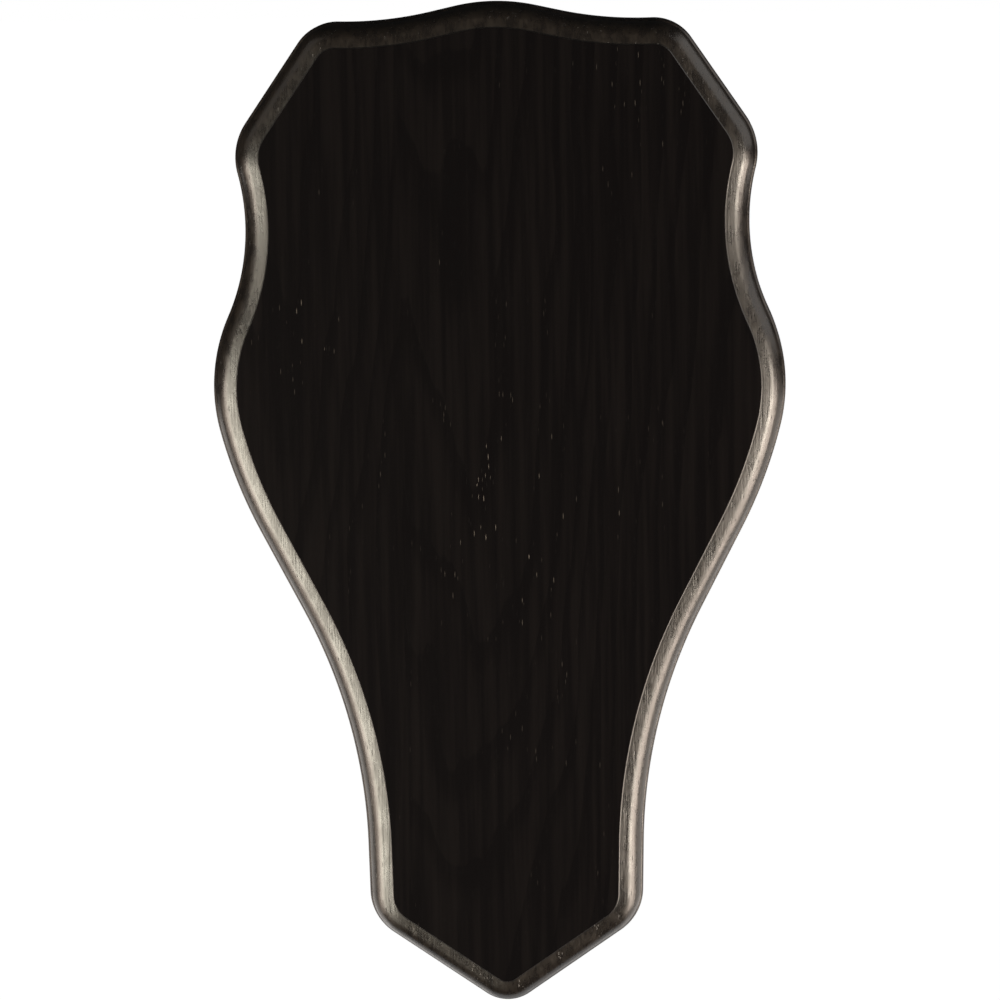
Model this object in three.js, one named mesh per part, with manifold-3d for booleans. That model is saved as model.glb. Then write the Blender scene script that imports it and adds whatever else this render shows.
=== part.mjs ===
// A wall plaque for mounting a trophy: a shield of three edge-glued oak staves with a moulded rim,
// a swivelling D-ring hanger on its back and two rubber bumpers that keep it parallel to the wall.
//
// Millimetres, +Z up. The front faces -Y, the wall is the plane y = 0, and the origin is the point
// on the wall where a hook carries the hanging ring.

import * as THREE from "three";
import { mergeVertices } from "three/addons/utils/BufferGeometryUtils.js";
import Module from "manifold-3d";

const wasm = await Module();
wasm.setup();

// ---- driving dimensions ------------------------------------------------------------------------

// board
const BOARD_THICKNESS = 18;
const SEAM_X = 28.5; // the two glue lines between the staves
const TOP_ABOVE_HOOK = 26; // from the hook up to the crest of the shield
const ARC_SAGITTA = 0.05; // how far a chord of the outline may leave its arc

// Right half of the shield's outline, from the middle of the crest clockwise to the tip. Each
// stretch is tangent to the next: arcs [radius, sweep in degrees], positive where they bulge
// outwards and negative where they hollow, and straight stretches [length].
const OUTLINE = [
  [55.0, 12.5], // crest
  [7.2],
  [111.6, -14.2], // dip beside the crest
  [13.5, 57.3], // top corner
  [28.3], // shoulder
  [18.4, 48.7], // side corner
  [64.1, -38.7], // waist
  [52.0, 38.6], // hip
  [142.3, 13.1], // below the hip
  [27.1],
  [161.8, -26.0], // hollow flank
  [15.2],
  [15.6, 54.2], // bottom corner
];
const TIP_RADIUS = 11.4; // a last straight stretch and this arc close the outline on the axis

// moulded edge, as inset from the outline and depth below the front face
const BACK_ARRIS = 0.8; // rounding where the side meets the back
const MOULD_DEPTH = 7;
const RIM_RADIUS = 1.8; // rounding where the side meets the moulding
const RIM_SWEEP = 52; // degrees of that rounding
const OVOLO_CENTRE = 5.5; // inset of the middle of the ellipse that the ovolo follows
const OVOLO_SWEEP = 82; // degrees of that ellipse, after which the section runs on straight
const FACET_END = 7.1;
const ARRIS_RISE = 0.25; // the last small step up to the front face
const FACE_INSET = 7.4;

// hanger
const WIRE_RADIUS = 1.0;
const SHEET = 0.7;
const KNUCKLE_CLEARANCE = 0.15;
const RING_HALF_WIDTH = 8; // all ring sizes are to the middle of the wire
const RING_SIDE = 6;
const RING_CORNER = 2.2;
const STRAP_WIDTH = 10;
const STRAP_LENGTH = 31; // from the ring's axis to the rounded end
const LEAF_GAP = 0.15;
const SCREW_DROPS = [8, 24.5]; // from the ring's axis down to each screw

// screws
const SCREW_HEAD_RADIUS = 3.0;
const SCREW_HEAD_HEIGHT = 1.7;
const SCREW_HEAD_EDGE = 0.5; // the straight part of the head, below its dome
const THREAD_RADIUS = 1.5;
const CORE_RADIUS = 1.05;
const THREAD_PITCH = 1.6;
const SCREW_LENGTH = 13.5; // under the head
const SCREW_POINT = 3;
const SCREW_CLEARANCE = 0.3;
const RECESS_SPAN = 3.2;
const RECESS_SLOT = 0.7;
const RECESS_DEPTH = 1.1;

// bumpers
const BUMPER_HEIGHT = 4;
const BUMPER_BASE_RADIUS = 6.3;
const BUMPER_FACE_RADIUS = 5.2;
const BUMPER_EDGE = 0.8;
const BUMPER_X = 19;
const BUMPER_ABOVE_TIP = 46;

// how finely the round pieces are cut
const BORE_SIDES = 20;
const KNUCKLE_STEPS = 14;
const STRAP_END_STEPS = 12;
const WIRE_SIDES = 10;
const SCREW_SIDES = 16;
const BUMPER_SIDES = 28;

// ---- places worked out from them ---------------------------------------------------------------

const BACK_Y = -BUMPER_HEIGHT;
const KNUCKLE_RADIUS = WIRE_RADIUS + KNUCKLE_CLEARANCE + SHEET;
const RING_Y = BACK_Y + KNUCKLE_RADIUS;
const RING_TOP = RING_SIDE + RING_HALF_WIDTH; // middle of the wire at the bow, above the axis
const RING_Z = WIRE_RADIUS - RING_TOP; // the hook bears on the underside of the bow, at z = 0
const STRAP_HEIGHT = 2 * SHEET + LEAF_GAP;

// ---- materials ---------------------------------------------------------------------------------

const stainedOak = { color: 0x16120f, roughness: 0.42, metalness: 0 };
const zincPlate = { color: 0xb9b6ae, roughness: 0.35, metalness: 1 };
const blackRubber = { color: 0x1b1b1c, roughness: 0.8, metalness: 0 };

// ---- helpers -----------------------------------------------------------------------------------

const part = new THREE.Group();

function add(name, geometry, finish, position = [0, 0, 0]) {
  geometry.computeVertexNormals();
  const mesh = new THREE.Mesh(geometry, new THREE.MeshStandardMaterial(finish));
  mesh.name = name;
  mesh.position.set(...position);
  part.add(mesh);
  return mesh;
}

// Points along an arc about a centre, from one angle to another in degrees, both ends included.
function arcPoints(cx, cy, rx, ry, fromDegrees, toDegrees, steps) {
  const points = [];
  for (let i = 0; i <= steps; i++) {
    const angle = THREE.MathUtils.degToRad(fromDegrees + ((toDegrees - fromDegrees) * i) / steps);
    points.push(new THREE.Vector2(cx + rx * Math.cos(angle), cy + ry * Math.sin(angle)));
  }
  return points;
}

// A closed surface over rings of equally many points. With capped true the first and last rings
// become flat ends across Y; otherwise the last ring joins the first, as on a closed loop of wire.
function skin(rings, capped) {
  const count = rings[0].length;
  const index = [];
  const bands = capped ? rings.length - 1 : rings.length;
  for (let r = 0; r < bands; r++) {
    const here = r * count;
    const next = ((r + 1) % rings.length) * count;
    for (let i = 0; i < count; i++) {
      const j = (i + 1) % count;
      index.push(here + i, next + j, here + j);
      index.push(here + i, next + i, next + j);
    }
  }
  const cap = (ring, offset, flip) => {
    const flat = ring.map((p) => new THREE.Vector2(p.x, p.z));
    for (const corners of THREE.ShapeUtils.triangulateShape(flat, [])) {
      const turned = flip ? [...corners].reverse() : corners;
      index.push(...turned.map((corner) => offset + corner));
    }
  };
  if (capped) {
    cap(rings[0], 0, true);
    cap(rings.at(-1), (rings.length - 1) * count, false);
  }
  const geometry = new THREE.BufferGeometry();
  const positions = rings.flat().flatMap((p) => [p.x, p.y, p.z]);
  geometry.setAttribute("position", new THREE.Float32BufferAttribute(positions, 3));
  geometry.setIndex(index);
  return geometry;
}

function toSolid(geometry) {
  const bare = geometry.clone();
  bare.deleteAttribute("normal");
  bare.deleteAttribute("uv");
  const merged = mergeVertices(bare, 1e-4);
  const mesh = new wasm.Mesh({
    numProp: 3,
    vertProperties: new Float32Array(merged.getAttribute("position").array),
    triVerts: new Uint32Array(merged.index.array),
  });
  return new wasm.Manifold(mesh);
}

function toGeometry(solid) {
  const mesh = solid.getMesh();
  const geometry = new THREE.BufferGeometry();
  geometry.setAttribute("position", new THREE.Float32BufferAttribute(mesh.vertProperties, 3));
  geometry.setIndex(Array.from(mesh.triVerts));
  return geometry;
}

// A box between two corners.
function block(low, high) {
  const size = high.map((value, axis) => value - low[axis]);
  const middle = high.map((value, axis) => (value + low[axis]) / 2);
  return new THREE.BoxGeometry(...size).translate(...middle);
}

// A round bar along Y, between two depths.
function barAlongY(radius, fromY, toY, z) {
  const bar = new THREE.CylinderGeometry(radius, radius, Math.abs(toY - fromY), BORE_SIDES);
  return bar.translate(0, (fromY + toY) / 2, z);
}

// ---- board -------------------------------------------------------------------------------------

// Right half of the outline at an inset, from the crest to the tip, with y up and the crest of the
// full outline at y = 0. The number of points doesn't depend on the inset.
function halfOutline(inset) {
  const points = [];
  let at = new THREE.Vector2(0, 0);
  let heading = 0; // clockwise from +x, in radians
  const outward = () => new THREE.Vector2(Math.sin(heading), Math.cos(heading));
  const mark = () => points.push(at.clone().addScaledVector(outward(), -inset));
  const line = (length) => {
    at = new THREE.Vector2(at.x + length * Math.cos(heading), at.y - length * Math.sin(heading));
    mark();
  };
  const arc = (radius, sweep) => {
    const reach = Math.sign(sweep) * radius; // from the arc's centre outwards
    const centre = at.clone().addScaledVector(outward(), -reach);
    const finest = 2 * Math.acos(1 - ARC_SAGITTA / radius);
    const steps = Math.ceil(Math.abs(sweep) / finest);
    const start = heading;
    for (let i = 1; i <= steps; i++) {
      heading = start + (sweep * i) / steps;
      at = centre.clone().addScaledVector(outward(), reach);
      mark();
    }
  };
  mark();
  for (const [size, sweepDegrees] of OUTLINE) {
    if (sweepDegrees === undefined) line(size);
    else arc(size, THREE.MathUtils.degToRad(sweepDegrees));
  }
  line((at.x - TIP_RADIUS * Math.sin(heading)) / -Math.cos(heading));
  arc(TIP_RADIUS, Math.PI - heading);
  points[0].x = 0;
  points.at(-1).x = 0;
  return points;
}

// The whole outline at an inset, as one ring of the board at a depth y.
function boardRing(inset, y) {
  const right = halfOutline(inset);
  const left = right
    .slice(1, -1)
    .reverse()
    .map((p) => new THREE.Vector2(-p.x, p.y));
  return [...right, ...left].map((p) => new THREE.Vector3(p.x, y, TOP_ABOVE_HOOK + p.y));
}

// The section of the moulded edge, from the back face to the front: inset from the outline and
// height above the back.
function edgeSection() {
  const rimTop = BOARD_THICKNESS - MOULD_DEPTH;
  const facetTop = BOARD_THICKNESS - ARRIS_RISE;
  const sweep = THREE.MathUtils.degToRad(RIM_SWEEP);
  const across = OVOLO_CENTRE - RIM_RADIUS * (1 - Math.cos(sweep));
  const last = THREE.MathUtils.degToRad(180 - OVOLO_SWEEP);
  const facetRun = FACET_END - OVOLO_CENTRE - across * Math.cos(last);
  const up = (facetTop - rimTop) / (Math.sin(last) - facetRun / Math.tan(last) / across);
  const back = arcPoints(BACK_ARRIS, BACK_ARRIS, BACK_ARRIS, BACK_ARRIS, 270, 180, 2);
  const rimCentre = rimTop - RIM_RADIUS * Math.sin(sweep);
  const rim = arcPoints(RIM_RADIUS, rimCentre, RIM_RADIUS, RIM_RADIUS, 180, 180 - RIM_SWEEP, 3);
  const ovolo = arcPoints(OVOLO_CENTRE, rimTop, across, up, 180, 180 - OVOLO_SWEEP, 6).slice(1);
  const step = [0, 0.35, 0.65, 1].map((t) => {
    const rise = (1 - Math.cos(Math.PI * t)) / 2;
    return new THREE.Vector2(
      THREE.MathUtils.lerp(FACET_END, FACE_INSET, t),
      THREE.MathUtils.lerp(facetTop, BOARD_THICKNESS, rise),
    );
  });
  return [...back, ...rim, ...ovolo, ...step];
}

const board = toSolid(skin(edgeSection().map((p) => boardRing(p.x, BACK_Y - p.y)), true));

// Clearance for the hanger screws: blind bores from the back, a little deeper than the screws.
const screwHeights = SCREW_DROPS.map((drop) => RING_Z - drop);
const boreEnd = BACK_Y + STRAP_HEIGHT - SCREW_LENGTH - 1;
const bored = screwHeights.reduce(
  (solid, z) => solid.subtract(toSolid(barAlongY(THREAD_RADIUS + SCREW_CLEARANCE, 1, boreEnd, z))),
  board,
);

const BEYOND = 400; // past the board on every side
const STAVES = [
  ["stave_left", -BEYOND, -SEAM_X],
  ["stave_centre", -SEAM_X, SEAM_X],
  ["stave_right", SEAM_X, BEYOND],
];
for (const [name, low, high] of STAVES) {
  const slab = toSolid(block([low, -BEYOND, -BEYOND], [high, BEYOND, BEYOND]));
  add(name, toGeometry(bored.intersect(slab)), stainedOak);
}

// ---- hanger strap ------------------------------------------------------------------------------

// One strip folded round the ring's straight bar, with its two leaves together below the knuckle.
// Seen from the side: x is the distance from the wood, y the height above the ring's axis.
function strapSide() {
  const eye = WIRE_RADIUS + KNUCKLE_CLEARANCE;
  const [leafIn, leafOut] = [SHEET, SHEET + LEAF_GAP];
  // the angle at which a circle about the ring's axis is a given distance from the wood, below it
  const angleAt = (distance, radius) =>
    -THREE.MathUtils.radToDeg(Math.acos((distance - KNUCKLE_RADIUS) / radius));
  const around = (radius, from, to, steps) =>
    arcPoints(KNUCKLE_RADIUS, 0, radius, radius, from, to, steps);
  return new THREE.Shape([
    new THREE.Vector2(0, -STRAP_LENGTH),
    ...around(KNUCKLE_RADIUS, 180, angleAt(STRAP_HEIGHT, KNUCKLE_RADIUS), KNUCKLE_STEPS),
    new THREE.Vector2(STRAP_HEIGHT, -STRAP_LENGTH),
    new THREE.Vector2(leafOut, -STRAP_LENGTH),
    ...around(eye, angleAt(leafOut, eye), 180, KNUCKLE_STEPS),
    new THREE.Vector2(leafIn, -STRAP_LENGTH),
  ]);
}

// The strap's face, seen square on: a strip with a round lower end, tall enough for the knuckle.
function strapFace() {
  const half = STRAP_WIDTH / 2;
  return new THREE.Shape([
    new THREE.Vector2(half, KNUCKLE_RADIUS + 1),
    new THREE.Vector2(-half, KNUCKLE_RADIUS + 1),
    ...arcPoints(0, half - STRAP_LENGTH, half, half, 180, 360, STRAP_END_STEPS),
  ]);
}

function strapGeometry() {
  const sideways = new THREE.Matrix4().makeBasis(
    new THREE.Vector3(0, 1, 0),
    new THREE.Vector3(0, 0, 1),
    new THREE.Vector3(1, 0, 0),
  );
  const outwards = new THREE.Matrix4().makeBasis(
    new THREE.Vector3(1, 0, 0),
    new THREE.Vector3(0, 0, 1),
    new THREE.Vector3(0, -1, 0),
  );
  const through = STRAP_WIDTH + 2;
  const folded = new THREE.ExtrudeGeometry(strapSide(), { depth: through, bevelEnabled: false });
  const face = new THREE.ExtrudeGeometry(strapFace(), { depth: through, bevelEnabled: false });
  folded.translate(0, 0, -through / 2).applyMatrix4(sideways);
  face.translate(0, 0, -through / 2).applyMatrix4(outwards);
  const strip = toSolid(folded).intersect(toSolid(face));
  const radius = THREAD_RADIUS + SCREW_CLEARANCE;
  const pierced = SCREW_DROPS.reduce(
    (solid, drop) => solid.subtract(toSolid(barAlongY(radius, -1, STRAP_HEIGHT + 1, -drop))),
    strip,
  );
  return toGeometry(pierced);
}

add("hanger_strap", strapGeometry(), zincPlate, [0, BACK_Y, RING_Z]);

// ---- hanging ring ------------------------------------------------------------------------------

// A D of round wire about its own straight bar, which turns in the strap's knuckle. The wire's
// middle runs along the bar, up one side, over the round bow and down the other side.
function ringPath() {
  const halfBar = RING_HALF_WIDTH - RING_CORNER;
  const turn = (cx, cz, radius, from, to, steps) => arcPoints(cx, cz, radius, radius, from, to, steps);
  return [
    ...turn(halfBar, RING_CORNER, RING_CORNER, -90, 0, 4),
    ...turn(0, RING_SIDE, RING_HALF_WIDTH, 0, 180, 16),
    ...turn(-halfBar, RING_CORNER, RING_CORNER, 180, 270, 4),
  ];
}

function ringGeometry() {
  const path = ringPath();
  const rings = path.map((point, i) => {
    const before = path.at(i - 1);
    const after = path[(i + 1) % path.length];
    const along = after.clone().sub(before).normalize();
    const outward = new THREE.Vector3(along.y, 0, -along.x);
    const section = arcPoints(0, 0, WIRE_RADIUS, WIRE_RADIUS, 0, 360, WIRE_SIDES).slice(0, -1);
    return section.map((s) => new THREE.Vector3(point.x, -s.y, point.y).addScaledVector(outward, s.x));
  });
  return skin(rings, false);
}

add("hanger_ring", ringGeometry(), zincPlate, [0, RING_Y, RING_Z]);

// ---- screws ------------------------------------------------------------------------------------

// A pan-head wood screw along Y with its head towards the wall and the head's underside at y = 0.
// The thread is a row of ridges.
function screwProfile() {
  const shankEnd = SCREW_POINT - SCREW_LENGTH;
  const points = [new THREE.Vector2(0, -SCREW_LENGTH)];
  const ridges = Math.floor(-shankEnd / THREAD_PITCH);
  for (let i = 0; i < ridges; i++) {
    const y = shankEnd + i * THREAD_PITCH;
    points.push(new THREE.Vector2(CORE_RADIUS, y));
    points.push(new THREE.Vector2(THREAD_RADIUS, y + THREAD_PITCH / 2));
  }
  const dome = SCREW_HEAD_HEIGHT - SCREW_HEAD_EDGE;
  points.push(new THREE.Vector2(THREAD_RADIUS, 0));
  points.push(new THREE.Vector2(SCREW_HEAD_RADIUS, 0));
  points.push(...arcPoints(0, SCREW_HEAD_EDGE, SCREW_HEAD_RADIUS, dome, 0, 90, 5));
  points.at(-1).x = 0;
  return points;
}

// The screw with a cross recess, two slots at right angles.
function screwGeometry() {
  const solid = toSolid(new THREE.LatheGeometry(screwProfile(), SCREW_SIDES));
  const floor = SCREW_HEAD_HEIGHT - RECESS_DEPTH;
  const top = SCREW_HEAD_HEIGHT + 1;
  const [long, wide] = [RECESS_SPAN / 2, RECESS_SLOT / 2];
  const slots = [
    block([-long, floor, -wide], [long, top, wide]),
    block([-wide, floor, -long], [wide, top, long]),
  ];
  return toGeometry(slots.reduce((rest, slot) => rest.subtract(toSolid(slot)), solid));
}

const screwNames = ["hanger_screw_upper", "hanger_screw_lower"];
screwHeights.forEach((z, i) => {
  add(screwNames[i], screwGeometry(), zincPlate, [0, BACK_Y + STRAP_HEIGHT, z]);
});

// ---- bumpers -----------------------------------------------------------------------------------

// A moulded rubber disc that narrows towards the wall, with a rounded edge and a flat face.
function bumperGeometry() {
  const shoulder = BUMPER_HEIGHT - BUMPER_EDGE;
  const profile = [
    new THREE.Vector2(0, 0),
    new THREE.Vector2(BUMPER_BASE_RADIUS, 0),
    ...arcPoints(BUMPER_FACE_RADIUS - BUMPER_EDGE, shoulder, BUMPER_EDGE, BUMPER_EDGE, 0, 90, 3),
    new THREE.Vector2(0, BUMPER_HEIGHT),
  ];
  return new THREE.LatheGeometry(profile, BUMPER_SIDES);
}

const tipZ = TOP_ABOVE_HOOK + halfOutline(0).at(-1).y;
const bumperZ = tipZ + BUMPER_ABOVE_TIP;
add("bumper_left", bumperGeometry(), blackRubber, [-BUMPER_X, BACK_Y, bumperZ]);
add("bumper_right", bumperGeometry(), blackRubber, [BUMPER_X, BACK_Y, bumperZ]);

export default part;
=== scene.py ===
"""A shield-shaped plaque of black-stained oak for mounting a trophy, hanging free above a pale floor.

The board is one moulded shield of three glued staves; a strap with a swivelling D-ring, two wood
screws and two rubber bumpers are on its back. Metres, +Z up, front facing -Y, as in the CAD frame.
"""

import math

import bmesh
import bpy
from mathutils import Matrix, Quaternion, Vector


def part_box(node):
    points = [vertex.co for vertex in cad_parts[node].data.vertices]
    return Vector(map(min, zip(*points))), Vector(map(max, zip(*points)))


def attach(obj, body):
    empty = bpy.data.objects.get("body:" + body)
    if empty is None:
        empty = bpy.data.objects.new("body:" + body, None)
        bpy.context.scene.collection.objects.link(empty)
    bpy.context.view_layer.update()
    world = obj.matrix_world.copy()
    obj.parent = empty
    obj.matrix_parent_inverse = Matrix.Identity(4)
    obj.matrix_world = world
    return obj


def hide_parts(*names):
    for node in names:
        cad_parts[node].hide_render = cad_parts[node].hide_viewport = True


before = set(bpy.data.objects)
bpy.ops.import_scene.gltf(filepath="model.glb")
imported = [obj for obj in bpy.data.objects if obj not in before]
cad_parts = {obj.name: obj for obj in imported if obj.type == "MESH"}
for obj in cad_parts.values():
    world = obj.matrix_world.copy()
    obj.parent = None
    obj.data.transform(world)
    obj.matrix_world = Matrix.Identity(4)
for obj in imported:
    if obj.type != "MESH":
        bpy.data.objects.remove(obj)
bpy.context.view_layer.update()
MM = 0.001

# ---- sizes shared with the CAD, in millimetres --------------------------------------------------

# Right half of the outline from the crest to the tip: arcs [radius, sweep in degrees], positive
# where they bulge, and straight stretches [length].
OUTLINE = [
    [55.0, 12.5],  # crest
    [7.2],
    [111.6, -14.2],  # dip beside the crest
    [13.5, 57.3],  # top corner
    [28.3],  # shoulder
    [18.4, 48.7],  # side corner
    [64.1, -38.7],  # waist
    [52.0, 38.6],  # hip
    [142.3, 13.1],  # below the hip
    [27.1],
    [161.8, -26.0],  # hollow flank
    [15.2],
    [15.6, 54.2],  # bottom corner
]
TIP_RADIUS = 11.4
BACK_ARRIS = 0.8
MOULD_DEPTH = 7.0
RIM_RADIUS = 1.8
RIM_SWEEP = 52
OVOLO_CENTRE = 5.5
OVOLO_SWEEP = 82
FACET_END = 7.1
ARRIS_RISE = 0.25
FACE_INSET = 7.4

WIRE_RADIUS = 1.0
SHEET = 0.7
KNUCKLE_CLEARANCE = 0.15
LEAF_GAP = 0.15
RING_HALF_WIDTH = 8.0
RING_SIDE = 6.0
RING_CORNER = 2.2

HEAD_RADIUS = 3.0
HEAD_HEIGHT = 1.7
HEAD_EDGE = 0.5
THREAD_RADIUS = 1.5
CORE_RADIUS = 1.05
THREAD_PITCH = 1.6
SCREW_LENGTH = 13.5
SCREW_POINT = 3.0
SCREW_SIDES = 40
BORE_CLEARANCE = 0.3
RECESS_SPAN = 3.2
RECESS_SLOT = 0.7
RECESS_DEPTH = 1.1

BUMPER_BASE_RADIUS = 6.3
BUMPER_FACE_RADIUS = 5.2
BUMPER_EDGE = 0.8

# ---- places taken from the frame, in millimetres -------------------------------------------------


def box_mm(node):
    low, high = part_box(node)
    return low / MM, high / MM


centre_low, centre_high = box_mm("stave_centre")
FRONT_Y = centre_low.y
BACK_Y = centre_high.y
THICKNESS = BACK_Y - FRONT_Y
SEAM_X = centre_high.x
CREST_Z = centre_high.z

strap_low, strap_high = box_mm("hanger_strap")
KNUCKLE_RADIUS = WIRE_RADIUS + KNUCKLE_CLEARANCE + SHEET
STRAP_HALF_WIDTH = strap_high.x
STRAP_HEIGHT = 2 * SHEET + LEAF_GAP
RING_Y = BACK_Y + KNUCKLE_RADIUS
RING_Z = box_mm("hanger_ring")[0].z + WIRE_RADIUS
STRAP_END_Z = strap_low.z

# ---- small helpers ------------------------------------------------------------------------------


def arc_points(cx, cy, rx, ry, start, end, steps):
    """Points along an arc about a centre, from one angle to another in degrees, ends included."""
    points = []
    for i in range(steps + 1):
        angle = math.radians(start + (end - start) * i / steps)
        points.append((cx + rx * math.cos(angle), cy + ry * math.sin(angle)))
    return points


def mesh_object(name, verts_mm, faces):
    mesh = bpy.data.meshes.new(name)
    mesh.from_pydata([Vector(v) * MM for v in verts_mm], [], faces)
    mesh.validate()
    obj = bpy.data.objects.new(name, mesh)
    bpy.context.scene.collection.objects.link(obj)
    return obj


def loft(name, rings, closed=False):
    """A closed surface over rings of equally many points: a loop of rings, or one with two caps."""
    count = len(rings[0])
    verts = [point for ring in rings for point in ring]
    faces = []
    for r in range(len(rings) if closed else len(rings) - 1):
        here, there = r * count, (r + 1) % len(rings) * count
        for i in range(count):
            j = (i + 1) % count
            faces.append((here + i, here + j, there + j, there + i))
    if not closed:
        faces.append(tuple(reversed(range(count))))
        faces.append(tuple(range(len(verts) - count, len(verts))))
    obj = mesh_object(name, verts, faces)
    face_outwards(obj)
    return obj


def face_outwards(obj):
    work = bmesh.new()
    work.from_mesh(obj.data)
    bmesh.ops.recalc_face_normals(work, faces=work.faces)
    work.to_mesh(obj.data)
    work.free()


def smooth(obj, crease_degrees):
    """Smooth shading with sharp edges wherever two faces meet at more than the crease angle."""
    obj.data.shade_smooth()
    obj.data.set_sharp_from_angle(angle=math.radians(crease_degrees))


def subtract(obj, cutters):
    """Cuts the cutters out of the object's mesh and removes them."""
    for cutter in cutters:
        cut = obj.modifiers.new("cut", "BOOLEAN")
        cut.operation = "DIFFERENCE"
        cut.solver = "EXACT"
        cut.object = cutter
    graph = bpy.context.evaluated_depsgraph_get()
    mesh = bpy.data.meshes.new_from_object(obj.evaluated_get(graph))
    obj.modifiers.clear()
    mesh.name = obj.data.name
    obj.data = mesh
    for cutter in cutters:
        bpy.data.objects.remove(cutter)


def turned(name, profile, sides):
    """A body of revolution about the Y axis, from (radius, y) points with both ends on the axis."""
    verts = []
    faces = []
    for radius, y in profile[1:-1]:
        for i in range(sides):
            angle = 2 * math.pi * i / sides
            verts.append((radius * math.cos(angle), y, radius * math.sin(angle)))
    bands = len(profile) - 2
    for r in range(bands - 1):
        for i in range(sides):
            j = (i + 1) % sides
            faces.append((r * sides + i, r * sides + j, (r + 1) * sides + j, (r + 1) * sides + i))
    for tip, band in ((profile[0], 0), (profile[-1], bands - 1)):
        verts.append((0, tip[1], 0))
        for i in range(sides):
            faces.append((band * sides + i, band * sides + (i + 1) % sides, len(verts) - 1))
    obj = mesh_object(name, verts, faces)
    face_outwards(obj)
    return obj


def bar_along_y(radius, start, end, z, sides=48):
    return place(turned("bar", [(0, start), (radius, start), (radius, end), (0, end)], sides), z=z)


def place(obj, x=0.0, y=0.0, z=0.0):
    """Moves the object's mesh by millimetres; the object itself stays at the origin."""
    obj.data.transform(Matrix.Translation(Vector((x, y, z)) * MM))
    return obj


def dress(obj, body, material, slot, *nodes):
    """Gives a piece its material, the body it rides on and the CAD nodes it stands for."""
    obj.data.materials.clear()
    obj.data.materials.append(material)
    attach(obj, body)
    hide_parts(*nodes)


# ---- materials ----------------------------------------------------------------------------------


class Shader:
    """One material's node tree, with a short call for each node."""

    def __init__(self, name):
        self.material = bpy.data.materials.new(name)
        self.material.use_nodes = True
        self.tree = self.material.node_tree
        self.surface = self.tree.nodes["Principled BSDF"]

    def node(self, kind, inputs=None, **settings):
        node = self.tree.nodes.new(kind)
        for key, value in settings.items():
            setattr(node, key, value)
        for key, value in (inputs or {}).items():
            self.feed(node.inputs[key], value)
        return node

    def feed(self, socket, value):
        if isinstance(value, bpy.types.NodeSocket):
            self.tree.links.new(value, socket)
        else:
            socket.default_value = value

    def math(self, operation, a, b=0.0, c=0.0, clamp=False):
        inputs = {0: a, 1: b, 2: c}
        return self.node("ShaderNodeMath", inputs, operation=operation, use_clamp=clamp).outputs[0]

    def product(self, *factors):
        """Multiplies two or more values."""
        result = factors[0]
        for factor in factors[1:]:
            result = self.math("MULTIPLY", result, factor)
        return result

    def opposite(self, value):
        """One minus the value."""
        return self.math("SUBTRACT", 1.0, value)

    def ramp(self, value, low, high, to_low=0.0, to_high=1.0):
        """A smooth step of a value, from low to high."""
        inputs = {"Value": value, "From Min": low, "From Max": high, "To Min": to_low, "To Max": to_high}
        return self.node("ShaderNodeMapRange", inputs, interpolation_type="SMOOTHSTEP").outputs[0]

    def blend(self, factor, a, b):
        """Mixes two colours."""
        mix = self.node("ShaderNodeMix", data_type="RGBA")
        self.feed(mix.inputs["Factor"], factor)
        self.feed(mix.inputs["A"], a)
        self.feed(mix.inputs["B"], b)
        return mix.outputs["Result"]

    def mix(self, factor, a, b):
        """Mixes two numbers."""
        return self.node("ShaderNodeMix", {0: factor, 2: a, 3: b}).outputs[0]

    def noise(self, vector, scale, detail=2.0, roughness=0.5):
        inputs = {"Vector": vector, "Scale": scale, "Detail": detail, "Roughness": roughness}
        return self.node("ShaderNodeTexNoise", inputs)

    def scaled(self, vector, scale, shift=(0, 0, 0)):
        inputs = {"Vector": vector, "Location": shift, "Scale": scale}
        return self.node("ShaderNodeMapping", inputs).outputs[0]

    def place_mm(self):
        """The point's place in the frame, in millimetres."""
        coordinates = self.node("ShaderNodeTexCoord")
        return self.scaled(coordinates.outputs["Object"], (1 / MM,) * 3)

    def bump(self, height, depth_mm, below=None):
        inputs = {"Height": height, "Distance": depth_mm * MM, "Strength": 1.0}
        if below:
            inputs["Normal"] = below
        return self.node("ShaderNodeBump", inputs).outputs[0]

    def finish(self, **inputs):
        for key, value in inputs.items():
            self.feed(self.surface.inputs[key.replace("_", " ")], value)
        return self.material


# Stained oak. Linear colours.
STAIN_FACE = (0.0058, 0.0050, 0.0058, 1)
STAIN_FACE_LIGHT = (0.0108, 0.0092, 0.0096, 1)
STAIN_EDGE = (0.027, 0.020, 0.0140, 1)
STAIN_RUBBED = (0.085, 0.062, 0.046, 1)
STAIN_BACK = (0.017, 0.0122, 0.0094, 1)
STAIN_BACK_LIGHT = (0.080, 0.055, 0.038, 1)
# pale colour of the face's pores: dust in them, and painted glints of light off their walls
PORE_DUST_AND_GLINT = (0.34, 0.305, 0.265, 1)
RING_SPACING = 3.4  # mm between growth rings
PORE_SPACING = 0.5  # mm
PORE_LENGTH = 4.6  # mm


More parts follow.
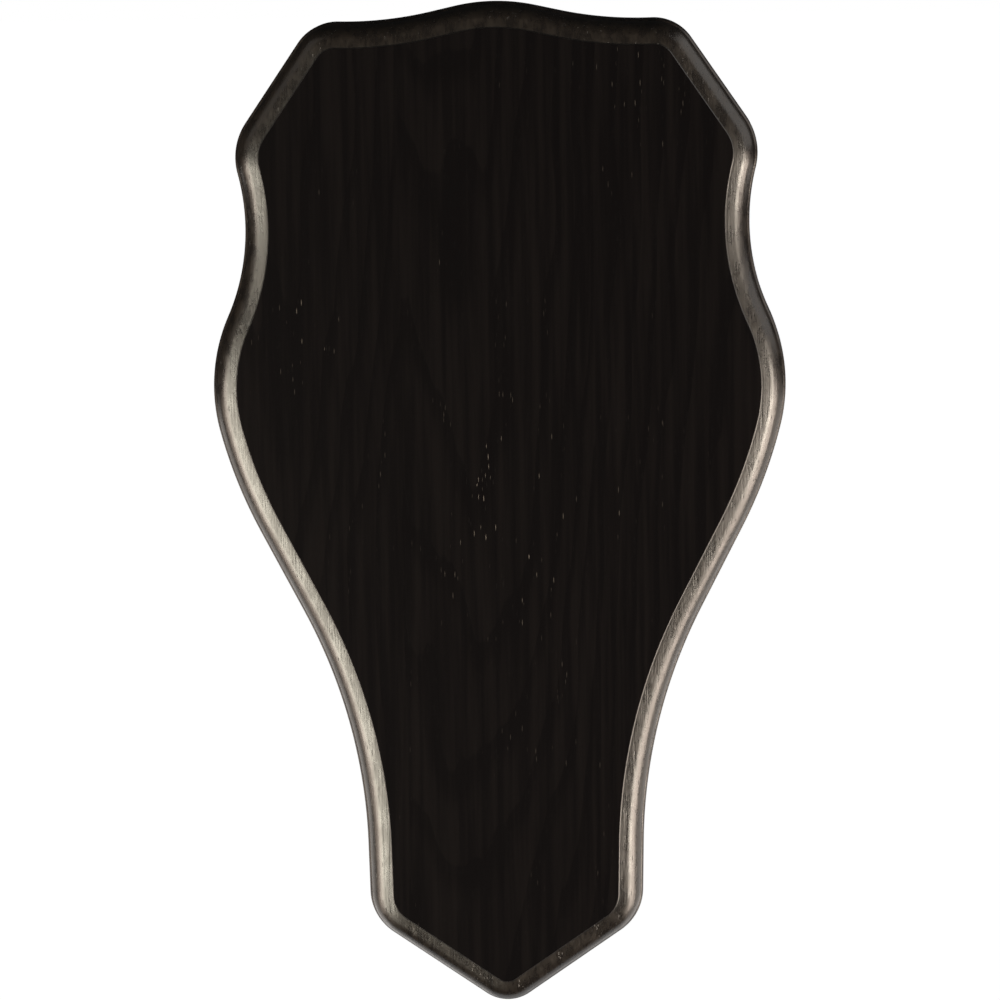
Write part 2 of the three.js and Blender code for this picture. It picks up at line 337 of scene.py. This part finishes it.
def stained_oak(name, polished, shift, pith, dust_and_glint_patch):
    """Oak with its grain along Z, stained nearly black.

    polished is for the moulded edge, which carries a glossier lacquer than the flat faces. shift moves
    the figure, so that no two staves match. pith is the middle of the tree as (x, y, lean): its place
    across the board in mm, and how many mm it comes nearer for each mm up. The last argument is the
    patch of the face whose pores are painted pale, as (x, z, half width, half height) in mm: partly dust
    caught in the pores, partly painted glints where light would catch on the pore walls.
    """
    s = Shader(name)
    here = s.place_mm()
    x, y, z = s.node("ShaderNodeSeparateXYZ", {0: here}).outputs
    own = s.scaled(here, (1, 1, 1), shift)

    # growth rings: distance from the pith, wandering slowly along the grain
    wander = s.noise(s.scaled(own, (1 / 38, 1 / 38, 1 / 150)), 1.0, 2.0).outputs["Fac"]
    flutter = s.noise(s.scaled(own, (1 / 6, 1 / 6, 1 / 60)), 1.0, 2.0).outputs["Fac"]
    pith_x, pith_y, lean = pith
    across = s.math("SUBTRACT", x, pith_x)
    depth = s.math("MULTIPLY_ADD", z, lean, s.math("SUBTRACT", y, pith_y))
    squares = s.math("ADD", s.product(across, across), s.product(depth, depth))
    radius = s.math("ADD", s.math("SQRT", squares), s.product(wander, 16.0))
    radius = s.math("ADD", radius, s.product(flutter, 1.6))
    phase = s.math("FRACT", s.math("DIVIDE", radius, RING_SPACING))
    early = s.product(s.opposite(s.ramp(phase, 0.12, 0.50)), s.ramp(phase, 0.0, 0.05))

    # fibres, and the large pores of the early wood with a few scattered between
    fibre = s.noise(s.scaled(own, (2.2, 2.2, 1 / 14)), 1.0, 3.0, 0.6).outputs["Fac"]
    streak = s.noise(s.scaled(own, (1 / 2.4, 1 / 2.4, 1 / 70)), 1.0, 3.0, 0.55).outputs["Fac"]
    pore_cells = s.scaled(own, (1 / PORE_SPACING, 1 / PORE_SPACING, 1 / PORE_LENGTH))
    inputs = {"Vector": pore_cells, "Scale": 1.0, "Randomness": 1.0}
    cells = s.node("ShaderNodeTexVoronoi", inputs, feature="F1")
    chance, tone, _ = s.node("ShaderNodeSeparateColor", {0: cells.outputs["Color"]}).outputs
    body = s.opposite(s.ramp(cells.outputs["Distance"], 0.08, 0.26))
    open_share = s.mix(early, 0.10, 0.60)
    pore = s.product(body, s.ramp(s.math("SUBTRACT", open_share, chance), 0.0, 0.08))

    # where the point is on the section: face, moulding or back
    routed = s.ramp(y, FRONT_Y + 0.02, FRONT_Y + 0.4)
    back = s.ramp(y, BACK_Y - 0.5, BACK_Y - 0.05)
    side = s.ramp(y, FRONT_Y + MOULD_DEPTH + 0.2, FRONT_Y + MOULD_DEPTH + 1.6)
    patchy = s.noise(s.scaled(own, (1 / 3, 1 / 3, 1 / 6)), 1.0, 4.0, 0.65).outputs["Fac"]
    rim_height = s.math("ABSOLUTE", s.math("SUBTRACT", y, FRONT_Y + MOULD_DEPTH))
    rim = s.opposite(s.ramp(rim_height, 0.0, 0.9))
    rubbed = s.product(rim, s.ramp(patchy, 0.40, 0.62))

    # pale pores in one patch of the face and in a few others: partly dust caught in them, partly painted
    # glints of light on the pore walls
    patch_x, patch_z, half_width, half_height = dust_and_glint_patch
    u = s.math("DIVIDE", s.math("SUBTRACT", x, patch_x), half_width)
    v = s.math("DIVIDE", s.math("SUBTRACT", z, patch_z), half_height)
    reach = s.math("SQRT", s.math("ADD", s.product(u, u), s.product(v, v)))
    cloud = s.noise(s.scaled(own, (1 / 22, 1 / 22, 1 / 45)), 1.0, 2.0).outputs["Fac"]
    elsewhere = s.ramp(cloud, 0.50, 0.72, 0.0, 0.35)
    pale_fleck_mask = s.math("MAXIMUM", s.ramp(reach, 0.2, 1.0, 1.0, 0.0), elsewhere)
    dust_and_painted_glints = s.product(pore, s.math("POWER", tone, 1.6), pale_fleck_mask, s.opposite(routed))

    # colour
    face_tone = s.math("ADD", s.product(streak, 0.7), s.product(early, -0.12))
    colour = s.blend(s.ramp(face_tone, 0.2, 0.5), STAIN_FACE, STAIN_FACE_LIGHT)
    edge_tone = s.ramp(s.math("ADD", patchy, s.product(fibre, 0.5)), 0.55, 0.95, 0.25, 1.0)
    edge = s.blend(edge_tone, STAIN_FACE_LIGHT, STAIN_EDGE)
    edge = s.blend(side, edge, STAIN_FACE_LIGHT)
    colour = s.blend(routed, colour, edge)
    colour = s.blend(s.product(rubbed, 0.5), colour, STAIN_RUBBED)
    figure = s.math("ADD", s.product(early, -0.30), s.product(streak, 0.9))
    figure = s.math("ADD", figure, s.product(fibre, 0.25))
    thin = s.blend(s.ramp(figure, 0.15, 0.72), STAIN_BACK, STAIN_BACK_LIGHT)
    thin = s.blend(s.product(pore, 0.85), thin, STAIN_FACE)
    colour = s.blend(back, colour, thin)
    colour = s.blend(s.product(pore, routed, 0.6), colour, STAIN_FACE)
    # paints the face's pores pale: dust in them, and painted glints of light off their walls
    colour = s.blend(dust_and_painted_glints, colour, PORE_DUST_AND_GLINT)

    # roughness
    worn = s.ramp(patchy, 0.35, 0.70, 0.25, 0.36)
    rough = s.mix(routed, 0.36, worn)
    rough = s.mix(side, rough, 0.48)
    rough = s.mix(back, rough, 0.60)
    rough = s.math("ADD", rough, s.product(s.math("SUBTRACT", fibre, 0.5), 0.10))
    rough = s.math("ADD", rough, s.product(pore, 0.30), clamp=True)

    # relief
    relief = s.bump(s.product(early, -1.0), 0.012)
    relief = s.bump(s.product(fibre, s.mix(routed, 0.35, 1.0)), 0.05, relief)
    relief = s.bump(s.product(patchy, routed), 0.05, relief)
    pit = s.product(pore, s.mix(routed, s.product(pale_fleck_mask, 0.26), 1.0))
    relief = s.bump(s.opposite(pit), 0.07, relief)
    s.finish(Base_Color=colour, Roughness=rough, Normal=relief)
    if polished:
        return s.finish(IOR=1.8, Specular_IOR_Level=1.0)
    return s.finish(IOR=1.5, Specular_IOR_Level=0.12)


def zinc_plate(name, base, roughness, shift):
    """Zinc plate: fine crystals, faint rolling lines and duller rubbed patches."""
    s = Shader(name)
    own = s.scaled(s.place_mm(), (1, 1, 1), shift)
    crystal = s.node("ShaderNodeTexVoronoi", {"Vector": own, "Scale": 3.2}, feature="F1")
    grain = s.node("ShaderNodeSeparateColor", {0: crystal.outputs["Color"]}).outputs[0]
    cloud = s.noise(own, 0.32, 4.0, 0.6).outputs["Fac"]
    lines = s.noise(s.scaled(own, (9.0, 9.0, 0.4)), 1.0, 3.0).outputs["Fac"]
    dull = s.ramp(cloud, 0.42, 0.68)
    dark = [base[0] * 0.70, base[1] * 0.69, base[2] * 0.66, 1]
    colour = s.blend(s.product(dull, 0.55), (*base, 1), dark)
    rough = s.math("ADD", s.product(dull, 0.16), roughness)
    rough = s.math("ADD", rough, s.product(grain, 0.06))
    relief = s.bump(lines, 0.006)
    relief = s.bump(grain, 0.003, relief)
    return s.finish(Base_Color=colour, Metallic=1.0, Roughness=rough, Normal=relief)


def moulded_rubber():
    """Matt black rubber with a fine skin and a little dust."""
    s = Shader("moulded_rubber")
    own = s.place_mm()
    cloud = s.noise(own, 0.5, 3.0).outputs["Fac"]
    fine = s.noise(own, 7.0, 3.0, 0.65).outputs["Fac"]
    colour = s.blend(s.ramp(cloud, 0.3, 0.7), (0.016, 0.016, 0.017, 1), (0.030, 0.030, 0.031, 1))
    pale_fleck_mask = s.ramp(s.noise(own, 2.6, 4.0, 0.7).outputs["Fac"], 0.60, 0.72)
    colour = s.blend(s.product(pale_fleck_mask, 0.4), colour, (0.11, 0.105, 0.10, 1))
    rough = s.ramp(fine, 0.3, 0.7, 0.62, 0.82)
    return s.finish(Base_Color=colour, Roughness=rough, Normal=s.bump(fine, 0.03))


# ---- board --------------------------------------------------------------------------------------

ARC_SAGITTA = 0.004  # mm a chord may leave its arc
STRAIGHT_STEP = 4.0  # mm, the longest step along a straight stretch
ARRIS_STEPS = 12  # across the step where the moulding meets the face
FLAT = 0.999  # a normal's share along Y from which a face counts as front or back


def half_outline(inset):
    """Right half of the outline at an inset, crest to tip, as (x, z) with the crest at CREST_Z."""
    at = Vector((0, 0))
    heading = 0.0  # clockwise from +x
    points = []

    def outward():
        return Vector((math.sin(heading), math.cos(heading)))

    def mark():
        points.append(at - outward() * inset)

    def line(length):
        nonlocal at
        start = at
        steps = math.ceil(length / STRAIGHT_STEP)
        for i in range(1, steps + 1):
            at = start + Vector((math.cos(heading), -math.sin(heading))) * (length * i / steps)
            mark()

    def arc(radius, sweep):
        nonlocal at, heading
        reach = math.copysign(radius, sweep)
        middle = at - outward() * reach
        steps = math.ceil(abs(sweep) / (2 * math.acos(1 - ARC_SAGITTA / radius)))
        start = heading
        for i in range(1, steps + 1):
            heading = start + sweep * i / steps
            at = middle + outward() * reach
            mark()

    mark()
    for stretch in OUTLINE:
        if len(stretch) == 1:
            line(stretch[0])
        else:
            arc(stretch[0], math.radians(stretch[1]))
    line((at.x - TIP_RADIUS * math.sin(heading)) / -math.cos(heading))
    arc(TIP_RADIUS, math.pi - heading)
    points[0].x = 0
    points[-1].x = 0
    return [(p.x, CREST_Z + p.y) for p in points]


def board_ring(inset, height):
    """The whole outline at an inset, at a height above the back of the board."""
    right = half_outline(inset)
    left = [(-x, z) for x, z in reversed(right[1:-1])]
    return [(x, BACK_Y - height, z) for x, z in right + left]


def edge_section():
    """The moulded edge's section from the back to the front: (inset, height above the back)."""
    flat = 0.4  # a strip of true face beside the moulding, so that the face shades flat
    rim_top = THICKNESS - MOULD_DEPTH
    facet_top = THICKNESS - ARRIS_RISE
    sweep = math.radians(RIM_SWEEP)
    across = OVOLO_CENTRE - RIM_RADIUS * (1 - math.cos(sweep))
    last = math.radians(180 - OVOLO_SWEEP)
    facet_run = FACET_END - OVOLO_CENTRE - across * math.cos(last)
    up = (facet_top - rim_top) / (math.sin(last) - facet_run / math.tan(last) / across)
    back = arc_points(BACK_ARRIS, BACK_ARRIS, BACK_ARRIS, BACK_ARRIS, 270, 180, 8)
    rim_centre = rim_top - RIM_RADIUS * math.sin(sweep)
    rim = arc_points(RIM_RADIUS, rim_centre, RIM_RADIUS, RIM_RADIUS, 180, 180 - RIM_SWEEP, 8)
    ovolo = arc_points(OVOLO_CENTRE, rim_top, across, up, 180, 180 - OVOLO_SWEEP, 26)[1:]
    step = []
    for i in range(ARRIS_STEPS + 1):
        t = i / ARRIS_STEPS
        rise = (1 - math.cos(math.pi * t)) / 2
        step.append((FACET_END + (FACE_INSET - FACET_END) * t, facet_top + ARRIS_RISE * rise))
    inner = [(BACK_ARRIS + flat, 0)]
    face = [(FACE_INSET + flat, THICKNESS)]
    return inner + back + rim + ovolo + step + face


def between(obj, name, low_x, high_x):
    """The part of the object between two upright planes, closed where they cut it."""
    work = bmesh.new()
    work.from_mesh(obj.data)
    for x, side in ((low_x, -1), (high_x, 1)):
        if x is None:
            continue
        geometry = list(work.verts) + list(work.edges) + list(work.faces)
        point = Vector((x * MM, 0, 0))
        cut = bmesh.ops.bisect_plane(
            work, geom=geometry, dist=1e-8, plane_co=point, plane_no=(side, 0, 0), clear_outer=True
        )
        edges = [e for e in cut["geom_cut"] if isinstance(e, bmesh.types.BMEdge)]
        bmesh.ops.holes_fill(work, edges=edges, sides=0)
    bmesh.ops.recalc_face_normals(work, faces=work.faces)
    mesh = bpy.data.meshes.new(name)
    work.to_mesh(mesh)
    work.free()
    piece = bpy.data.objects.new(name, mesh)
    bpy.context.scene.collection.objects.link(piece)
    return piece


screw_heights = [
    (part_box(node)[0].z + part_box(node)[1].z) / 2 / MM
    for node in ("hanger_screw_upper", "hanger_screw_lower")
]


def bores():
    """Clearance for the screws through the strap and into the centre stave."""
    depth = BACK_Y + STRAP_HEIGHT - SCREW_LENGTH - 1
    return [bar_along_y(THREAD_RADIUS + BORE_CLEARANCE, 1, depth, z) for z in screw_heights]


def build_board():
    """The moulded shield, cut at its glue joints into three staves that each have their own figure."""
    shield = loft("shield", [board_ring(inset, height) for inset, height in edge_section()])
    staves = {
        "left": (None, -SEAM_X, (37.0, 11.0, 120.0), (-66.0, 30.0, 0.035), (-55, -72, 14, 25)),
        "centre": (-SEAM_X, SEAM_X, (0.0, 0.0, 0.0), (-12.0, 24.0, 0.070), (3, -126, 25, 46)),
        "right": (SEAM_X, None, (-53.0, 29.0, -80.0), (78.0, 42.0, -0.030), (41, -124, 9, 17)),
    }
    for side, (low_x, high_x, *figure) in staves.items():
        stave = between(shield, f"oak_stave_{side}", low_x, high_x)
        if side == "centre":
            subtract(stave, bores())
        smooth(stave, crease_degrees=34)
        edge = stained_oak(f"oak_edge_{side}", True, *figure)
        flat = stained_oak(f"oak_flat_{side}", False, *figure)
        dress(stave, "board", edge, "stained_oak", f"stave_{side}")
        stave.data.materials.append(flat)
        for face in stave.data.polygons:
            face.material_index = int(abs(face.normal.y) > FLAT)
    bpy.data.objects.remove(shield)


# ---- hanger -------------------------------------------------------------------------------------


def strap_path():
    """The middle of the folded sheet seen from the side: (distance from the wood, z).

    It runs up the inner leaf, round the ring's bar and down the outer leaf, and is eased where the
    outer leaf leaves the knuckle.
    """
    middle = KNUCKLE_RADIUS - SHEET / 2
    outer = STRAP_HEIGHT - SHEET / 2
    ease = 0.8
    drop = math.sqrt((middle + ease) ** 2 - (outer + ease - KNUCKLE_RADIUS) ** 2)
    leave = math.degrees(math.atan2(-drop, outer + ease - KNUCKLE_RADIUS))
    around = arc_points(KNUCKLE_RADIUS, RING_Z, middle, middle, 180, leave, 40)
    easing = arc_points(outer + ease, RING_Z - drop, ease, ease, leave + 180, 180, 12)[1:]
    length = RING_Z - STRAP_END_Z
    round_steps, straight_steps = 24, 12
    up = []
    for i in range(round_steps + 1):
        angle = math.pi / 2 * i / round_steps
        up.append(STRAP_END_Z + STRAP_HALF_WIDTH * (1 - math.cos(angle)))
    round_end = up[-1]
    for i in range(1, straight_steps):
        up.append(round_end + (length - STRAP_HALF_WIDTH) * i / straight_steps)
    inner_leaf = [(SHEET / 2, z) for z in up]
    straight_top = easing[-1][1] - 0.2
    outer_leaf = [(outer, z) for z in reversed(up) if z < straight_top]
    return inner_leaf + around + easing + outer_leaf


def build_strap(material):
    """A strip of sheet folded round the bar, with its two round ends together at the bottom."""
    edge = 0.14  # rounding of the sheet's cut edges
    path = strap_path()
    rings = []
    for i, (out, z) in enumerate(path):
        before = Vector(path[max(i - 1, 0)])
        after = Vector(path[min(i + 1, len(path) - 1)])
        along = (after - before).normalized()
        across = Vector((along.y, -along.x))
        from_end = min(max(z - STRAP_END_Z, 0.02), STRAP_HALF_WIDTH)
        half = math.sqrt(STRAP_HALF_WIDTH**2 - (STRAP_HALF_WIDTH - from_end) ** 2)
        soft = min(edge, half * 0.5)
        inner = half - soft
        ring = []
        for x, side, start in ((inner, 1, 0), (-inner, 1, 90), (-inner, -1, 180), (inner, -1, 270)):
            for cx, cy in arc_points(x, side * (SHEET / 2 - soft), soft, soft, start, start + 90, 4):
                ring.append((cx, BACK_Y + out + across.x * cy, z + across.y * cy))
        rings.append(ring)
    strap = loft("folded_strap", rings)
    subtract(strap, bores())
    smooth(strap, crease_degrees=40)
    dress(strap, "board", material, "zinc_plate", "hanger_strap")


def build_ring(material):
    """A D of round wire: straight bar, two bends, two sides and a round bow."""
    half_bar = RING_HALF_WIDTH - RING_CORNER
    path = [(-half_bar + 2 * half_bar * i / 8, 0) for i in range(1, 8)]
    path += arc_points(half_bar, RING_CORNER, RING_CORNER, RING_CORNER, -90, 0, 14)
    path += arc_points(0, RING_SIDE, RING_HALF_WIDTH, RING_HALF_WIDTH, 0, 180, 64)
    path += arc_points(-half_bar, RING_CORNER, RING_CORNER, RING_CORNER, 180, 270, 14)
    section = arc_points(0, 0, WIRE_RADIUS, WIRE_RADIUS, 0, 360, 32)[:-1]
    rings = []
    for i, point in enumerate(path):
        along = (Vector(path[(i + 1) % len(path)]) - Vector(path[i - 1])).normalized()
        outward = Vector((along.y, -along.x))
        ring = []
        for sx, sy in section:
            x, z = Vector(point) + outward * sx
            ring.append((x, RING_Y + sy, RING_Z + z))
        rings.append(ring)
    ring_wire = loft("ring_wire", rings, closed=True)
    smooth(ring_wire, crease_degrees=60)
    dress(ring_wire, "ring", material, "zinc_plate", "hanger_ring")


def recess_cutter():
    """A cross that narrows towards its floor, along Y, for a screw head with its top at y = 0."""
    long, wide = RECESS_SPAN / 2, RECESS_SLOT / 2
    cross = []
    for turn in range(4):
        angle = turn * math.pi / 2
        for u, v in ((long, -wide), (long, wide), (wide, wide)):
            c, s = math.cos(angle), math.sin(angle)
            cross.append((u * c - v * s, u * s + v * c))
    levels = [(0.42, -RECESS_DEPTH - 0.25), (0.62, -RECESS_DEPTH), (1.06, 0.2)]
    return loft("cross", [[(x * k, y, z * k) for x, z in cross] for k, y in levels])


def screw_thread():
    """The shank below the head, as one helix with a ridge, down to its point."""
    per_turn = 10
    steps = int(SCREW_LENGTH / THREAD_PITCH * per_turn)
    rings = []
    for step in range(steps + 1):
        y = -SCREW_LENGTH * (1 - step / steps)
        taper = min(1.0, (y + SCREW_LENGTH + 0.12) / SCREW_POINT)
        run_out = min(1.0, -y / THREAD_PITCH)
        ring = []
        for i in range(SCREW_SIDES):
            turn = i / SCREW_SIDES
            phase = (y / THREAD_PITCH + turn) % 1.0
            ridge = max(0.0, 1 - abs(phase - 0.5) / 0.24) * run_out
            radius = (CORE_RADIUS + (THREAD_RADIUS - CORE_RADIUS) * ridge) * taper
            ring.append((radius * math.cos(2 * math.pi * turn), y, radius * math.sin(2 * math.pi * turn)))
        rings.append(ring)
    return rings


def build_screws(material):
    """Two pan-head screws with a cross recess, through both leaves of the strap into the wood."""
    dome = HEAD_HEIGHT - HEAD_EDGE
    soft = 0.12  # rounding under the rim of the head
    for name, node, z in zip(
        ("screw_upper", "screw_lower"), ("hanger_screw_upper", "hanger_screw_lower"), screw_heights
    ):
        head = [(CORE_RADIUS, 0), (HEAD_RADIUS - soft, 0)]
        head += arc_points(HEAD_RADIUS - soft, soft, soft, soft, -60, 0, 3)
        head += arc_points(0, HEAD_EDGE, HEAD_RADIUS, dome, 0, 88, 18)
        rings = screw_thread()[:-1]
        for radius, y in head:
            ring = arc_points(0, 0, radius, radius, 0, 360, SCREW_SIDES)[:-1]
            rings.append([(rx, y, rz) for rx, rz in ring])
        screw = loft(name, rings)
        subtract(screw, [place(recess_cutter(), y=HEAD_HEIGHT)])
        place(screw, y=BACK_Y + STRAP_HEIGHT, z=z)
        smooth(screw, crease_degrees=38)
        dress(screw, "board", material, "screw_steel", node)


# ---- bumpers ------------------------------------------------------------------------------------


def build_bumpers(material):
    """Moulded discs that narrow towards the wall, with a rounded edge there."""
    height = -BACK_Y
    slope = (BUMPER_BASE_RADIUS - BUMPER_FACE_RADIUS) / (height - BUMPER_EDGE)
    soft = 0.1  # rounding at the foot
    profile = [(0, 0), (BUMPER_BASE_RADIUS - soft, 0)]
    profile += arc_points(BUMPER_BASE_RADIUS - soft, soft, soft, soft, -45, 0, 2)
    profile += [(BUMPER_BASE_RADIUS - slope * y, y) for y in (0.3, 0.8, 1.6, 2.4)]
    top = BUMPER_FACE_RADIUS - BUMPER_EDGE
    profile += arc_points(top, height - BUMPER_EDGE, BUMPER_EDGE, BUMPER_EDGE, 12, 90, 12)
    profile += [(top - 0.4, height), (top / 2, height), (0, height)]
    for side in ("left", "right"):
        low, high = box_mm(f"bumper_{side}")
        middle = (low + high) / 2
        bumper = place(turned(f"rubber_bumper_{side}", profile, 96), middle.x, BACK_Y, middle.z)
        smooth(bumper, crease_degrees=50)
        dress(bumper, "board", material, "bumper_rubber", f"bumper_{side}")


# ---- camera, light and floor ---------------------------------------------------------------------

# The camera looks a little down at the plaque and from slightly to its right.
PITCH, YAW, ROLL = math.radians(7.67), math.radians(1.61), math.radians(-0.835)
CAMERA_DISTANCE = 1.414
AIM = Vector((0, (FRONT_Y + MOULD_DEPTH) * MM, -0.124))
LENS, SENSOR = 170.9, 36.0
SHIFT = (-0.00106, 0.00790)


def build_camera():
    back = Vector((math.sin(YAW) * math.cos(PITCH), -math.cos(YAW) * math.cos(PITCH), math.sin(PITCH)))
    data = bpy.data.cameras.new("camera")
    data.lens = LENS
    data.sensor_width = SENSOR
    data.shift_x, data.shift_y = SHIFT
    data.clip_start, data.clip_end = 0.05, 100
    camera = bpy.data.objects.new("camera", data)
    camera.location = AIM + back * CAMERA_DISTANCE
    camera.rotation_mode = "QUATERNION"
    roll = Quaternion((0, 0, 1), ROLL)
    camera.rotation_quaternion = (-back).to_track_quat("-Z", "Y") @ roll
    bpy.context.scene.collection.objects.link(camera)
    bpy.context.scene.camera = camera


def softbox(name, azimuth, elevation, distance, width, height, radiance, colour=(1, 1, 1)):
    """A rectangular light facing the plaque. Azimuth 0 is in front of it and 90 to its right."""
    a, e = math.radians(azimuth), math.radians(elevation)
    direction = Vector((math.sin(a) * math.cos(e), -math.cos(a) * math.cos(e), math.sin(e)))
    data = bpy.data.lights.new(name, "AREA")
    data.shape = "RECTANGLE"
    data.size, data.size_y = width, height
    data.energy = radiance * math.pi * width * height
    data.color = colour
    light = bpy.data.objects.new(name, data)
    light.location = AIM + direction * distance
    light.rotation_mode = "QUATERNION"
    light.rotation_quaternion = (-direction).to_track_quat("-Z", "Y")
    light.visible_camera = False
    bpy.context.scene.collection.objects.link(light)


def build_world(ambient):
    """White to the camera, and dim in reflections and shade."""
    world = bpy.data.worlds.new("studio")
    world.use_nodes = True
    background = world.node_tree.nodes["Background"]
    seen = world.node_tree.nodes.new("ShaderNodeLightPath")
    strength = world.node_tree.nodes.new("ShaderNodeMapRange")
    strength.inputs["To Min"].default_value = ambient
    world.node_tree.links.new(seen.outputs["Is Camera Ray"], strength.inputs["Value"])
    world.node_tree.links.new(strength.outputs[0], background.inputs["Strength"])
    background.inputs["Color"].default_value = (1, 1, 1, 1)
    bpy.context.scene.world = world


def build_floor(z, reach):
    """A pale floor well below the plaque, lit evenly."""
    corners = [(-reach, -reach, z), (reach, -reach, z), (reach, reach, z), (-reach, reach, z)]
    floor = mesh_object("pale_floor", [Vector(c) / MM for c in corners], [(0, 1, 2, 3)])
    s = Shader("pale_floor")
    s.finish(Base_Color=(0.85, 0.85, 0.85, 1), Roughness=0.9, Emission_Color=(1, 1, 1, 1))
    s.finish(Emission_Strength=1.0)
    floor.data.materials.append(s.material)
    floor.visible_glossy = False
    floor.visible_diffuse = False


def build_studio():
    softbox("left_inner", -34, -15, 1.0, 0.32, 0.50, 5.4, (1.0, 0.93, 0.77))
    softbox("left_front", -55, -16, 1.0, 0.40, 0.52, 4.2, (1.0, 0.87, 0.73))
    softbox("left_side", -80, -24, 1.0, 0.40, 0.65, 1.2, (1.0, 0.81, 0.67))
    softbox("left_above", -60, 35, 1.2, 0.9, 0.8, 0.14, (1.0, 0.90, 0.80))
    softbox("right_front", 45, -11, 1.0, 0.42, 0.36, 7.4, (1.0, 0.88, 0.74))
    softbox("right_side", 72, -22, 1.0, 0.60, 0.62, 3.7, (1.0, 0.84, 0.71))
    softbox("right_above", 85, 28, 1.2, 1.7, 0.9, 0.42, (1.0, 0.95, 0.90))
    softbox("back_left", -135, -30, 1.0, 0.9, 0.8, 0.7, (1.0, 0.93, 0.86))
    softbox("back_right", 130, -28, 1.0, 1.0, 0.8, 0.6, (1.0, 0.91, 0.83))
    softbox("behind", 180, -52, 1.0, 1.6, 1.2, 0.40)
    build_world(ambient=0.012)
    build_floor(z=-1.2, reach=40)


build_camera()
build_board()
zinc = zinc_plate("zinc_plate", (0.62, 0.61, 0.58), 0.26, (0, 0, 0))
build_strap(zinc)
build_ring(zinc)
build_screws(zinc_plate("screw_steel", (0.60, 0.58, 0.52), 0.30, (31, 7, 5)))
build_bumpers(moulded_rubber())
build_studio()
bpy.context.scene.view_settings.view_transform = "Standard"

bpy.context.view_layer.update()
